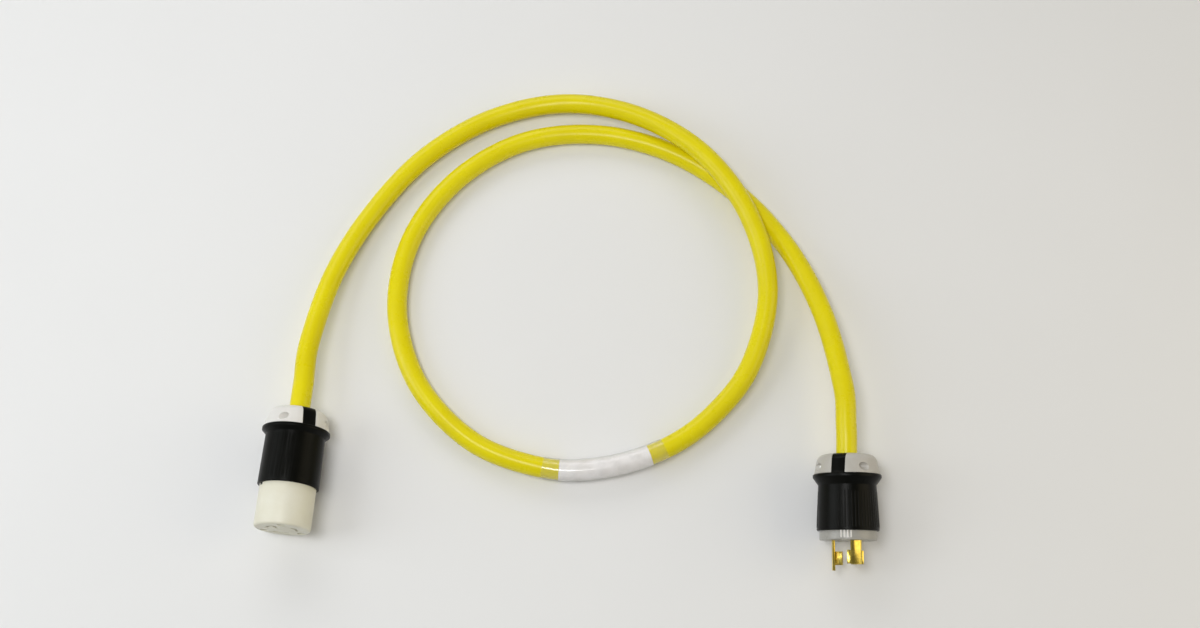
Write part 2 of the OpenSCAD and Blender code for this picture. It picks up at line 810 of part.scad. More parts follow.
// The corners' offsets from the middle of ring i, on a tube whose flats are 1 mm from it
function ring_corners(i) = [for (k = [0:cord_sides - 1])
    let (a = (k + 0.5) * 360 / cord_sides)
    (ring_side(i) * cos(a) + ring_up(i) * sin(a)) / cos(180 / cord_sides)];

// The middle and the corners at a place between two rings, u rings from the first
function mix(a, b, t) = a * (1 - t) + b * t;
function place(u) = mix(rings[floor(u)], rings[ceil(u)], u - floor(u));
function corners(u) = mix(ring_corners(floor(u)), ring_corners(ceil(u)), u - floor(u));
function tube_ring(u, r) = [for (q = corners(u)) place(u) + q * r];
// Every ring from the first to the last of a stretch, with its two ends
function stretch(from, to) = concat([from], [for (i = [floor(from) + 1:ceil(to) - 1]) i], [to]);

module solid_tube(from, to, r) {
    marks = stretch(from, to);
    last = len(marks) - 1;
    polyhedron(
        points = flat_list([for (u = marks) tube_ring(u, r)]),
        faces = flipped(concat(cap_faces(0, cord_sides),
            flipped(cap_faces(last * cord_sides, cord_sides)),
            flat_list([for (i = [0:last - 1])
                side_faces(i * cord_sides, (i + 1) * cord_sides, cord_sides)]))));
}

module hollow_tube(from, to, inner, outer) {
    marks = stretch(from, to);
    last = len(marks) - 1;
    inside = len(marks) * cord_sides;
    walls = flat_list([for (i = [0:last - 1])
        side_faces(i * cord_sides, (i + 1) * cord_sides, cord_sides)]);
    linings = flat_list([for (i = [0:last - 1])
        side_faces(inside + i * cord_sides, inside + (i + 1) * cord_sides, cord_sides)]);
    polyhedron(
        points = flat_list(concat([for (u = marks) tube_ring(u, outer)],
            [for (u = marks) tube_ring(u, inner)])),
        faces = flipped(concat(walls, flipped(linings), flipped(side_faces(0, inside, cord_sides)),
            side_faces(last * cord_sides, inside + last * cord_sides, cord_sides))));
}

label_in = cord_r + wrap_gap;
sleeve_in = label_in + label_t + wrap_gap;

module free_cord() {
    color(jacket_yellow)
        solid_tube(0, len(rings) - 1, cord_r);
}

module label_wrap() {
    color("white")
        hollow_tube(label_span[0] * route_steps, label_span[1] * route_steps,
            label_in, label_in + label_t);
}

module clear_sleeve() {
    color("lightyellow", 0.4)
        hollow_tube(sleeve_span[0] * route_steps, sleeve_span[1] * route_steps,
            sleeve_in, sleeve_in + sleeve_t);
}

// ---------------------------------------------------------------- the pieces

connector_shell();
connector_nose();
color(nylon_white) at_connector() terminal_block(connector_ground_turn);  // connector_terminal_block
contact(connector_ground_turn);  // connector_ground_contact
contact(connector_ground_turn + 120);  // connector_hot_contact
contact(connector_ground_turn + 240);  // connector_neutral_contact
color(steel) at_connector() terminal_plates(connector_ground_turn);  // connector_terminal_plates
color(steel) at_connector() terminal_screws(connector_ground_turn);  // connector_terminal_screws
color(steel) at_connector() assembly_screws(connector_ground_turn, connector_seat);  // connector_assembly_screws
color(nylon_white) at_connector() head_jaw(connector_clamp_turn);  // connector_jaw_a
color(nylon_white) at_connector() nut_jaw(connector_clamp_turn);  // connector_jaw_b
color(steel) at_connector() clamp_screw(connector_clamp_turn, 1);  // connector_clamp_screw_1
color(steel) at_connector() clamp_screw(connector_clamp_turn, -1);  // connector_clamp_screw_2
color(steel) at_connector() clamp_nuts(connector_clamp_turn);  // connector_clamp_nuts
color("green") at_connector() wire(connector_ground_turn);  // connector_green_wire
color("black") at_connector() wire(connector_ground_turn + 120);  // connector_black_wire
color("white") at_connector() wire(connector_ground_turn + 240);  // connector_white_wire
color("peru") at_connector() copper_ends(connector_ground_turn);  // connector_copper_ends
color(jacket_yellow) at_connector() jacket();  // connector_jacket_end

plug_shell();
plug_face();
color(nylon_white) at_plug() terminal_block(plug_ground_turn);  // plug_terminal_block
plug_ground_blade();
line_blade(plug_ground_turn + 120);  // plug_hot_blade
line_blade(plug_ground_turn + 240);  // plug_neutral_blade
color(steel) at_plug() terminal_plates(plug_ground_turn);  // plug_terminal_plates
color(steel) at_plug() terminal_screws(plug_ground_turn);  // plug_terminal_screws
color(steel) at_plug() assembly_screws(plug_ground_turn, face_seat);  // plug_assembly_screws
color(nylon_white) at_plug() head_jaw(plug_clamp_turn);  // plug_jaw_a
color(nylon_white) at_plug() nut_jaw(plug_clamp_turn);  // plug_jaw_b
color(steel) at_plug() clamp_screw(plug_clamp_turn, 1);  // plug_clamp_screw_1
color(steel) at_plug() clamp_screw(plug_clamp_turn, -1);  // plug_clamp_screw_2
color(steel) at_plug() clamp_nuts(plug_clamp_turn);  // plug_clamp_nuts
color("green") at_plug() wire(plug_ground_turn);  // plug_green_wire
color("black") at_plug() wire(plug_ground_turn + 120);  // plug_black_wire
color("white") at_plug() wire(plug_ground_turn + 240);  // plug_white_wire
color("peru") at_plug() copper_ends(plug_ground_turn);  // plug_copper_ends
color(jacket_yellow) at_plug() jacket();  // plug_jacket_end

free_cord();
label_wrap();
clear_sleeve();
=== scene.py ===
"""Shore power cord: a yellow cord in one loose loop, a locking connector on its left end and a
locking plug on its right end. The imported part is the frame; this script gives it its looks."""

import json
import math

import bmesh
import bpy
from mathutils import Matrix, Vector, noise

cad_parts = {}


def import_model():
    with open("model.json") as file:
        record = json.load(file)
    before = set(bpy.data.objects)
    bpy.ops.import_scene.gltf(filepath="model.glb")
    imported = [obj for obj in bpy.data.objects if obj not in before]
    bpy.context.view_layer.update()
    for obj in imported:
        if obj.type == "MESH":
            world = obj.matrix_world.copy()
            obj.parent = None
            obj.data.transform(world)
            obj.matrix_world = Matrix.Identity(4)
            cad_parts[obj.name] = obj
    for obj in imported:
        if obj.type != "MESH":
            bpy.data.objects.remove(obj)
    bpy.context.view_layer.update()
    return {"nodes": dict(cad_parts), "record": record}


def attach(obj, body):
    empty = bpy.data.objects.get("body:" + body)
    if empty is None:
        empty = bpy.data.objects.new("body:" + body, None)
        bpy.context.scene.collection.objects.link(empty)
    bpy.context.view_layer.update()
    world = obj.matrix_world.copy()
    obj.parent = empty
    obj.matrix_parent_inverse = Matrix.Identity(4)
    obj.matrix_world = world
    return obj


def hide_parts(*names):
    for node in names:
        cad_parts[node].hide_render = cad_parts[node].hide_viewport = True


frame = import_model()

MM = 0.001
ROOT = "cord_set"
UP = Vector((0, 0, 1))
ENDS = ("connector", "plug")

# ------------------------------------------------------------------ sizes
# Plain numbers are millimetres, and a value that is times MM is in metres.

# The cord, its straight run out of each clamp, and how finely its tube is drawn
CORD_D = 17.2
CORD_R = CORD_D / 2 * MM
CORD_STUB = 2
CORD_LEAD = 22
TUBE_SIDES = 40
SPAN_STEPS = 24

# How far the jacket's skin drifts, and how far the wires twisted inside it show through
SKIN_DRIFT = 0.07 * MM
WIRE_LAY = 0.03 * MM

# Inner and outer radii of the label and of the sleeve over it
LABEL_R = (CORD_R + 0.1 * MM, CORD_R + 0.3 * MM)
SLEEVE_R = (CORD_R + 0.4 * MM, CORD_R + 0.8 * MM)
SLEEVE_HUG = 0.22 * MM
SLEEVE_RIPPLE = 0.06 * MM

# Places along a device's axis from its clamp's flat top, and the plug's widths
FACE_Z = {"connector": 99.9, "plug": 69.8}
PLUG_SHELL_BACK, PLUG_SHELL_FRONT = 25.2, 62.1
PLUG_REAR_D, PLUG_FRONT_D = 47.4, 50.8
PLUG_FACE_D = 46.4

# What counts as a sharp edge of a moulding, and as one flat face of it
SHARP_ANGLE = math.radians(32)
FLAT_ANGLE = math.radians(0.6)
SAME_POINT = 0.002 * MM

# ------------------------------------------------------------------ camera

VIEW_CENTRE = Vector((0.025, 0.159, 0))
VIEW_DISTANCE = 1.370
VIEW_ELEVATION = math.radians(72)
VIEW_LENS = 47.35
VIEW_SENSOR = 36


def camera():
    """Above the near side, looking along +Y and steeply down."""
    data = bpy.data.cameras.new("camera")
    data.lens = VIEW_LENS
    data.sensor_width = VIEW_SENSOR
    cam = bpy.data.objects.new("camera", data)
    bpy.context.collection.objects.link(cam)
    back = Vector((0, -math.cos(VIEW_ELEVATION), math.sin(VIEW_ELEVATION)))
    cam.location = VIEW_CENTRE + back * VIEW_DISTANCE
    cam.rotation_euler = (-back).to_track_quat("-Z", "Y").to_euler()
    bpy.context.scene.camera = cam


camera()

# ------------------------------------------------------------------ the devices' own axes


def device_axes(end):
    """From a device's own axes, in metres, to the floor's: +Z out of its face, +X level and +Y up.
    Its origin is where the cord enters the clamp's flat top."""
    face = next(m for m in frame["record"]["mounts"] if m["name"] == end + "_face")
    ahead = Vector(face["axis"]).normalized()
    across = UP.cross(ahead).normalized()
    turn = Matrix((across, ahead.cross(across), ahead)).transposed().to_4x4()
    start = Vector(face["pos_m"]) - ahead * FACE_Z[end] * MM
    return Matrix.Translation(start) @ turn


AXES = {end: device_axes(end) for end in ENDS}


def added(name, mesh):
    """A new piece with its place in its mesh."""
    obj = bpy.data.objects.new(name, mesh)
    bpy.context.collection.objects.link(obj)
    return obj


def smooth(mesh, angle):
    """Smooth shading, with edges sharper than the angle left crisp."""
    mesh.polygons.foreach_set("use_smooth", [True] * len(mesh.polygons))
    mesh.set_sharp_from_angle(angle=angle)


# ------------------------------------------------------------------ the cord's line

# x and y of the middle line and the lift of the jacket's underside, in metres
ROUTE = [
    (-0.221, 0.128, 0.014), (-0.204, 0.193, 0.006), (-0.172, 0.254, 0.000),
    (-0.127, 0.306, 0.000), (-0.068, 0.342, 0.000), (-0.003, 0.354, 0.003),
    (0.062, 0.337, 0.011), (0.117, 0.297, 0.018), (0.155, 0.239, 0.018),
    (0.169, 0.173, 0.013), (0.153, 0.109, 0.005), (0.120, 0.066, 0.001),
    (0.079, 0.037, 0.001), (0.028, 0.021, 0.001), (-0.023, 0.021, 0.001),
    (-0.083, 0.044, 0.000), (-0.130, 0.094, 0.000), (-0.150, 0.159, 0.000),
    (-0.140, 0.225, 0.000), (-0.102, 0.281, 0.000), (-0.045, 0.317, 0.000),
    (0.021, 0.325, 0.000), (0.087, 0.308, 0.000), (0.145, 0.269, 0.000),
    (0.187, 0.216, 0.006), (0.214, 0.153, 0.017), (0.227, 0.086, 0.028),
]
SLEEVE_SPAN = (14.0, 16.0)
LABEL_SPAN = (14.26, 15.74)


def cord_exit(end, back):
    """A point on a device's axis, behind the stub by the length given in millimetres."""
    return AXES[end] @ Vector((0, 0, -(CORD_STUB + back) * MM))


def cord_knots():
    """The route with the straight leads at its ends, and one more at each for direction."""
    first = [cord_exit("connector", b) for b in (-CORD_LEAD, 0, CORD_LEAD)]
    last = [cord_exit("plug", b) for b in (CORD_LEAD, 0, -CORD_LEAD)]
    return first + [Vector((x, y, lift + CORD_R)) for x, y, lift in ROUTE] + last


KNOTS = cord_knots()
SPANS = len(KNOTS) - 3


def cord_point(u):
    """The middle line at u spans from its start, never lower than the floor lets it lie."""
    i = min(int(u), SPANS - 1)
    a, b, c, d = KNOTS[i : i + 4]
    t = u - i
    p = (2 * b + (c - a) * t + (2 * a - 5 * b + 4 * c - d) * t**2) / 2
    p += (3 * b - a - 3 * c + d) * t**3 / 2
    p.z = max(p.z, CORD_R)
    return p


def tube_axes(u):
    """The line's middle, and its level and upright directions across, at u."""
    ahead = (cord_point(min(u + 0.02, SPANS)) - cord_point(max(u - 0.02, 0))).normalized()
    side = UP.cross(ahead).normalized()
    return cord_point(u), side, ahead.cross(side)


def tube(name, marks, skins):
    """A closed tube round the cord's line. marks are places along it; skins are one or two
    functions of (place, angle) that give the outer and the inner radius. The outer skin has a
    UV map: round the tube, and along it in metres."""
    bm = bmesh.new()
    uv = bm.loops.layers.uv.new("lengthwise")
    rings = []
    for radius in skins:
        skin = []
        for u in marks:
            middle, side, up = tube_axes(u)
            ring = []
            for k in range(TUBE_SIDES):
                a = 2 * math.pi * k / TUBE_SIDES
                out = side * math.cos(a) + up * math.sin(a)
                ring.append(bm.verts.new(middle + out * radius(u, a)))
            skin.append(ring)
        rings.append(skin)
    run = [0.0]
    for a, b in zip(marks, marks[1:]):
        run.append(run[-1] + (cord_point(b) - cord_point(a)).length)
    for s, skin in enumerate(rings):
        for i in range(len(skin) - 1):
            for k in range(TUBE_SIDES):
                n = (k + 1) % TUBE_SIDES
                corners = [skin[i][k], skin[i][n], skin[i + 1][n], skin[i + 1][k]]
                face = bm.faces.new(corners if s == 0 else corners[::-1])
                places = {skin[i][k]: (k, i), skin[i][n]: (k + 1, i)}
                places.update({skin[i + 1][n]: (k + 1, i + 1), skin[i + 1][k]: (k, i + 1)})
                for loop in face.loops:
                    around, along = places[loop.vert]
                    loop[uv].uv = (around / TUBE_SIDES, run[along])
    for i, flip in ((0, False), (-1, True)):
        if len(rings) == 1:
            ring = rings[0][i]
            bm.faces.new(ring if flip else ring[::-1])
            continue
        for k in range(TUBE_SIDES):
            n = (k + 1) % TUBE_SIDES
            corners = [rings[0][i][k], rings[1][i][k], rings[1][i][n], rings[0][i][n]]
            bm.faces.new(corners[::-1] if flip else corners)
    bmesh.ops.recalc_face_normals(bm, faces=bm.faces)
    mesh = bpy.data.meshes.new(name)
    bm.to_mesh(mesh)
    bm.free()
    smooth(mesh, math.radians(40))
    return added(name, mesh)


def spread(first, last, step):
    """Even places from first to last, about a step apart."""
    n = max(1, round((last - first) / step))
    return [first + (last - first) * i / n for i in range(n + 1)]


def run_to(u):
    """The length of the line from its start to u."""
    marks = spread(0, u, 1 / SPAN_STEPS)
    return sum((cord_point(b) - cord_point(a)).length for a, b in zip(marks, marks[1:]))


SLEEVE_MIDDLE = (run_to(SLEEVE_SPAN[0]) + run_to(SLEEVE_SPAN[1])) / 2
SLEEVE_HALF = (run_to(SLEEVE_SPAN[1]) - run_to(SLEEVE_SPAN[0])) / 2

# ------------------------------------------------------------------ shader groups


class Shading:
    """Makes and links the nodes of one material or group."""

    def __init__(self, tree):
        self.tree = tree

    def node(self, kind, inputs=None, **settings):
        made = self.tree.nodes.new(kind)
        for key, value in settings.items():
            setattr(made, key, value)
        for key, value in (inputs or {}).items():
            socket = made.inputs[key]
            if isinstance(value, bpy.types.NodeSocket):
                self.tree.links.new(value, socket)
            else:
                socket.default_value = value
        return made

    def math(self, operation, a, b=0.0, clamp=False):
        made = self.node("ShaderNodeMath", {0: a, 1: b}, operation=operation)
        made.use_clamp = clamp
        return made.outputs[0]

    def remap(self, value, low, high, to_low=0.0, to_high=1.0):
        """Maps low..high onto to_low..to_high, and holds it there."""
        ends = {"From Min": low, "From Max": high, "To Min": to_low, "To Max": to_high}
        return self.node("ShaderNodeMapRange", {"Value": value, **ends}).outputs["Result"]

    def mix(self, amount, a, b, blend="MIX"):
        made = self.tree.nodes.new("ShaderNodeMix")
        made.data_type = "RGBA"
        made.blend_type = blend
        sockets = (made.inputs[0], made.inputs[6], made.inputs[7])
        for socket, value in zip(sockets, (amount, a, b)):
            if isinstance(value, bpy.types.NodeSocket):
                self.tree.links.new(value, socket)
            else:
                socket.default_value = value
        return made.outputs[2]

    def noise(self, where, scale, detail=3.0, roughness=0.5):
        return self.node(
            "ShaderNodeTexNoise",
            {"Vector": where, "Scale": scale, "Detail": detail, "Roughness": roughness},
        ).outputs["Fac"]


def effect(name, inputs, outputs):
    """An empty shader group with its named sockets, and its first and last node."""
    tree = bpy.data.node_groups.new(name, "ShaderNodeTree")
    for label, kind, default in inputs:
        socket = tree.interface.new_socket(label, in_out="INPUT", socket_type=kind)
        socket.default_value = default
    for label in outputs:
        tree.interface.new_socket(label, in_out="OUTPUT", socket_type="NodeSocketFloat")
    s = Shading(tree)
    return s, s.node("NodeGroupInput").outputs, s.node("NodeGroupOutput").inputs, tree


def moulded_grain():
    """The fine spark-eroded skin of a moulding, with slow changes of tone."""
    s, given, out, tree = effect(
        "moulded_grain",
        [("Grain size", "NodeSocketFloat", 0.0006), ("Tone size", "NodeSocketFloat", 0.03)],
        ["Height", "Tone"],
    )
    where = s.node("ShaderNodeTexCoord").outputs["Object"]
    fine = s.noise(where, s.math("DIVIDE", 1.0, given["Grain size"]), 2.0, 0.6)
    slow = s.noise(where, s.math("DIVIDE", 1.0, given["Tone size"]), 4.0, 0.55)
    s.tree.links.new(fine, out["Height"])
    s.tree.links.new(s.remap(slow, 0.3, 0.7), out["Tone"])
    return tree


def handling():
    """Scuffs and thumb marks: short fine scratches and soft smudges."""
    s, given, out, tree = effect(
        "handling",
        [("Scratch length", "NodeSocketFloat", 0.012), ("Amount", "NodeSocketFloat", 0.5)],
        ["Scratches", "Smudges"],
    )
    where = s.node("ShaderNodeTexCoord").outputs["Object"]
    length = s.math("DIVIDE", 1.0, given["Scratch length"])
    runs = []
    for turn in ((0.3, 0.2, 0.5), (1.1, 0.7, 2.2)):
        turned = s.node(
            "ShaderNodeMapping", {"Vector": where, "Rotation": turn, "Scale": (1.0, 14.0, 14.0)}
        ).outputs[0]
        line = s.noise(turned, length, 2.0, 0.4)
        runs.append(s.remap(s.math("ABSOLUTE", s.math("SUBTRACT", line, 0.5)), 0.012, 0.0))
    where_marked = s.remap(s.noise(where, 38.0, 3.0), 0.52, 0.68)
    lines = s.math("MULTIPLY", s.math("MAXIMUM", runs[0], runs[1]), where_marked)
    s.tree.links.new(s.math("MULTIPLY", lines, given["Amount"]), out["Scratches"])
    smudge = s.remap(s.noise(where, 55.0, 5.0, 0.65), 0.42, 0.72)
    s.tree.links.new(s.math("MULTIPLY", smudge, given["Amount"]), out["Smudges"])
    return tree


def edge_wear():
    """Where edges have been rubbed: a broken line along convex edges."""
    s, given, out, tree = effect(
        "edge_wear",
        [("Reach", "NodeSocketFloat", 0.5), ("Amount", "NodeSocketFloat", 0.5)],
        ["Wear"],
    )
    point = s.node("ShaderNodeNewGeometry").outputs["Pointiness"]
    start = s.math("SUBTRACT", 0.56, s.math("MULTIPLY", given["Reach"], 0.05))
    edge = s.remap(point, start, 0.62)
    where = s.node("ShaderNodeTexCoord").outputs["Object"]
    broken = s.remap(s.noise(where, 420.0, 4.0, 0.7), 0.42, 0.62)
    wear = s.math("MULTIPLY", s.math("MULTIPLY", edge, broken), given["Amount"])
    s.tree.links.new(wear, out["Wear"])
    return tree


GRAIN, HANDLING, WEAR = moulded_grain(), handling(), edge_wear()


FINISH = {}


def finish_of(name):
    """A new material, kept in FINISH by its name, with its Principled shader."""
    mat = bpy.data.materials.new(name)
    mat.use_nodes = True
    mat.node_tree.nodes.clear()
    s = Shading(mat.node_tree)
    shader = s.node("ShaderNodeBsdfPrincipled")
    s.node("ShaderNodeOutputMaterial", {"Surface": shader.outputs[0]})
    FINISH[name] = mat
    return s, shader


def placed(s, group, **values):
    """One of the shared effects in a material, with its own values."""
    made = s.node("ShaderNodeGroup", node_tree=group)
    for key, value in values.items():
        made.inputs[key.replace("_", " ").capitalize()].default_value = value
    return made.outputs


def feed(s, shader, **values):
    """Links or sets the shader's sockets by name."""
    for key, value in values.items():
        socket = shader.inputs[key.replace("_", " ")]
        if isinstance(value, bpy.types.NodeSocket):
            s.tree.links.new(value, socket)
        else:
            socket.default_value = value


def bumped(s, height, depth):
    """Depth in metres for a height from 0 to 1."""
    return s.node(
        "ShaderNodeBump", {"Height": height, "Distance": depth, "Strength": 1.0}
    ).outputs[0]


def rgb(r, g, b):
    return (r, g, b, 1.0)


# ------------------------------------------------------------------ finishes


def moulding(name, light, dark, worn, roughness, grain=0.0009, gloss=0.5):
    """A moulded plastic: grain, slow tone, rubbed edges, scuffs."""
    s, shader = finish_of(name)
    skin = placed(s, GRAIN, grain_size=grain, tone_size=0.022)
    marks = placed(s, HANDLING, amount=0.6)
    rubbed = placed(s, WEAR, amount=0.3)["Wear"]
    colour = s.mix(skin["Tone"], rgb(*dark), rgb(*light))
    colour = s.mix(s.math("MULTIPLY", marks["Scratches"], 0.5), colour, rgb(*worn))
    colour = s.mix(rubbed, colour, rgb(*worn))
    rough = s.remap(marks["Smudges"], 0.0, 1.0, roughness, roughness - 0.07)
    rough = s.math("ADD", rough, s.math("MULTIPLY", skin["Tone"], 0.05))
    feed(s, shader, Base_Color=colour, Roughness=rough, Specular_IOR_Level=gloss)
    feed(s, shader, Normal=bumped(s, skin["Height"], 0.00003))


def yellow_jacket():
    """Satin yellow jacket: extruded, a little uneven, with faint lengthwise rub marks. It looks
    wet where the clear sleeve lies on it."""
    s, shader = finish_of("yellow_jacket")
    skin = placed(s, GRAIN, grain_size=0.0009, tone_size=0.045)
    marks = placed(s, HANDLING, scratch_length=0.02, amount=0.5)
    colour = s.mix(skin["Tone"], rgb(0.740, 0.630, 0.002), rgb(0.790, 0.690, 0.003))
    colour = s.mix(s.math("MULTIPLY", marks["Smudges"], 0.14), colour, rgb(0.63, 0.48, 0.002))
    colour = s.mix(s.math("MULTIPLY", marks["Scratches"], 0.30), colour, rgb(0.82, 0.74, 0.12))
    rough = s.remap(marks["Smudges"], 0.0, 1.0, 0.27, 0.36)
    lengthwise = s.node("ShaderNodeUVMap", uv_map="lengthwise").outputs[0]
    along = s.node("ShaderNodeSeparateXYZ", {0: lengthwise}).outputs[1]
    from_middle = s.math("ABSOLUTE", s.math("SUBTRACT", along, SLEEVE_MIDDLE))
    sleeved = s.math("LESS_THAN", from_middle, SLEEVE_HALF)
    feed(s, shader, Base_Color=colour, Roughness=rough, Normal=bumped(s, skin["Height"], 0.00003))
    feed(s, shader, Specular_IOR_Level=0.28, Coat_Weight=sleeved, Coat_Roughness=0.08)


def bright_metal(name, light, dark, roughness, brushing=0.000004):
    """Metal with fine lines, slightly tarnished in patches and rubbed bright along its edges."""
    s, shader = finish_of(name)
    where = s.node("ShaderNodeTexCoord").outputs["Object"]
    lines = s.node("ShaderNodeMapping", {"Vector": where, "Scale": (1.0, 0.06, 1.0)}).outputs[0]
    grain = s.noise(lines, 2600.0, 2.0)
    patch = s.remap(s.noise(where, 140.0, 4.0, 0.6), 0.35, 0.7)
    rubbed = placed(s, WEAR, amount=0.8)["Wear"]
    colour = s.mix(patch, rgb(*light), rgb(*dark))
    colour = s.mix(rubbed, colour, rgb(*[min(1, c * 1.15) for c in light]))
    rough = s.remap(grain, 0.3, 0.7, roughness - 0.05, roughness + 0.08)
    feed(s, shader, Base_Color=colour, Roughness=rough, Metallic=1.0)
    feed(s, shader, Normal=bumped(s, grain, brushing))


def insulation(name, colour, dark):
    """The glossy insulation of one of the wires inside a device."""
    s, shader = finish_of(name)
    skin = placed(s, GRAIN, grain_size=0.0008, tone_size=0.01)
    feed(s, shader, Base_Color=s.mix(skin["Tone"], rgb(*dark), rgb(*colour)), Roughness=0.3)
    feed(s, shader, Normal=bumped(s, skin["Height"], 0.00001))


def label_paper():
    """White vinyl label under the clear sleeve: faint fibre, slightly greyed where it creases."""
    s, shader = finish_of("label_paper")
    where = s.node("ShaderNodeTexCoord").outputs["Object"]
    fibre = s.noise(where, 900.0, 4.0, 0.7)
    blush = s.remap(s.noise(where, 60.0, 3.0), 0.35, 0.7)
    colour = s.mix(blush, rgb(0.92, 0.90, 0.90), rgb(0.86, 0.83, 0.81))
    colour = s.mix(s.remap(fibre, 0.5, 0.8, 0.0, 0.12), colour, rgb(0.66, 0.64, 0.64))
    feed(s, shader, Base_Color=colour, Roughness=s.remap(fibre, 0.3, 0.7, 0.42, 0.55))
    feed(s, shader, Normal=bumped(s, fibre, 0.00002), Coat_Weight=0.8, Coat_Roughness=0.16)


def clear_sleeve():
    """Clear shrunk sleeve: a thin glossy veil, clearest where it is seen straight on."""
    s, shader = finish_of("clear_sleeve")
    where = s.node("ShaderNodeTexCoord").outputs["Object"]
    ripple = s.noise(where, 130.0, 3.0, 0.5)
    facing = s.node("ShaderNodeLayerWeight", {"Blend": 0.25}).outputs["Facing"]
    veil = s.remap(s.math("POWER", facing, 1.6), 0.0, 1.0, 0.04, 0.40)
    alpha = s.math("ADD", veil, s.remap(ripple, 0.4, 0.7, 0.0, 0.04))
    feed(s, shader, Base_Color=s.mix(ripple, rgb(0.66, 0.65, 0.58), rgb(0.58, 0.57, 0.51)))
    feed(s, shader, Roughness=0.09, Alpha=alpha, Coat_Weight=1.0, Coat_Roughness=0.04)
    feed(s, shader, Specular_IOR_Level=1.0, Normal=bumped(s, ripple, 0.00012))


def all_finishes():
    yellow_jacket()
    black = (0.0034, 0.0036, 0.0024), (0.0022, 0.0023, 0.0015), (0.013, 0.013, 0.011)
    moulding("black_nylon", *black, 0.31, grain=0.0007, gloss=0.08)
    moulding("white_nylon", (0.77, 0.75, 0.71), (0.72, 0.70, 0.65), (0.82, 0.81, 0.79), 0.40)
    # natural_nylon and the face's nylon are the white nylon darkened: painted shade for the plug's
    # dimmer light, and the face darker still as painted shade under the shell's rim
    moulding("natural_nylon", (0.52, 0.50, 0.46), (0.46, 0.44, 0.39), (0.60, 0.58, 0.54), 0.33)
    moulding("face_nylon_painted_shade", (0.38, 0.37, 0.335), (0.33, 0.32, 0.285), (0.42, 0.41, 0.375), 0.28)
    moulding("ivory_nylon", (0.77, 0.75, 0.625), (0.73, 0.70, 0.55), (0.82, 0.81, 0.71), 0.38)
    bright_metal("brass", (0.82, 0.64, 0.14), (0.64, 0.48, 0.08), 0.20)
    bright_metal("plated_steel", (0.86, 0.86, 0.84), (0.74, 0.74, 0.72), 0.42)
    bright_metal("copper", (0.80, 0.40, 0.24), (0.55, 0.25, 0.14), 0.32, brushing=0.00001)
    insulation("green_insulation", (0.03, 0.28, 0.07), (0.02, 0.20, 0.05))
    insulation("black_insulation", (0.02, 0.02, 0.02), (0.01, 0.01, 0.01))
    insulation("white_insulation", (0.78, 0.78, 0.76), (0.70, 0.70, 0.68))
    label_paper()
    clear_sleeve()


all_finishes()

SLOT_OF = {s["node"]: s["material_slot"] for s in frame["record"]["subparts"]}
# The plug's light pieces take darker copies of the white nylon: painted shade for the dimmer light
# at the plug, and darker still on its face, painted shade under the shell's rim
PLUG_PAINTED_SHADE_LOOKS = {
    "plug_jaw_a": "natural_nylon", "plug_jaw_b": "natural_nylon", "plug_face": "face_nylon_painted_shade",
}
LOOK_OF = {**SLOT_OF, **PLUG_PAINTED_SHADE_LOOKS}
BODY_OF = {n: b for b, ns in frame["record"]["behaviour"]["bodies"].items() for n in ns}


def dress_frame():
    """Every carried-over node takes its slot's finish."""
    for node, obj in frame["nodes"].items():
        for material_slot in obj.material_slots:
            material_slot.material = FINISH[LOOK_OF[node]]


dress_frame()


def settle(obj, slot, body, *nodes, look=None):
    """Gives a piece its finish, its body and the nodes that it stands for."""
    if not obj.data.materials:
        obj.data.materials.append(None)
    obj.data.materials[0] = FINISH[look or slot]
    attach(obj, body)
    if nodes:
        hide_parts(*nodes)
    return obj


# ------------------------------------------------------------------ cord, label and sleeve


def cord_skin(u, a):
    """The jacket lies a little unevenly over the wires that are twisted inside it."""
    middle = cord_point(u)
    slow = noise.noise(Vector((middle.x * 45, middle.y * 45, a * 0.4)))
    lay = math.cos(3 * a - u * 2.2)
    ends = min(1.0, u * 2, (SPANS - u) * 2)
    return CORD_R + (SKIN_DRIFT * slow + WIRE_LAY * lay) * ends


def free_cord():
    """The yellow cord as a tube, with the points of its middle line and their length."""
    marks = spread(0, SPANS, 1 / SPAN_STEPS)
    cord = tube("yellow_cord", marks, [cord_skin])
    settle(cord, "yellow_jacket", ROOT, "free_cord")
    path = [cord_point(u) for u in marks]
    length = sum((b - a).length for a, b in zip(path, path[1:]))
    return cord, path, length


def label():
    """The white label goes once round, with square ends."""
    marks = spread(*LABEL_SPAN, 1 / SPAN_STEPS)
    inner, outer = LABEL_R
    wrap = tube("label", marks, [lambda u, a: outer, lambda u, a: inner])
    return settle(wrap, "label_paper", ROOT, "label_wrap")


def sleeve():
    """The clear sleeve has shrunk a little further past the label, and ripples slightly."""
    first, last = SLEEVE_SPAN

    def outer(u, a):
        inward = min(u - first, last - u)
        hug = SLEEVE_HUG * math.exp(-((inward / 0.05) ** 2))
        where = Vector((u * 9, math.cos(a) * 1.4, math.sin(a) * 1.4))
        ripple = SLEEVE_RIPPLE * noise.noise(where)
        return SLEEVE_R[1] - hug + ripple

    marks = spread(first, last, 1 / SPAN_STEPS / 2)
    clear = tube("shrunk_sleeve", marks, [outer, lambda u, a: SLEEVE_R[0]])
    return settle(clear, "clear_sleeve", ROOT, "clear_sleeve")


cord, cord_path, cord_length = free_cord()
label_piece, sleeve_piece = label(), sleeve()

# ------------------------------------------------------------------ rounded mouldings


def plain_mesh(obj, name):
    """The object's modifiers applied, as a mesh of its own."""
    seen = obj.evaluated_get(bpy.context.evaluated_depsgraph_get())
    mesh = bpy.data.meshes.new_from_object(seen)
    mesh.name = name
    return mesh


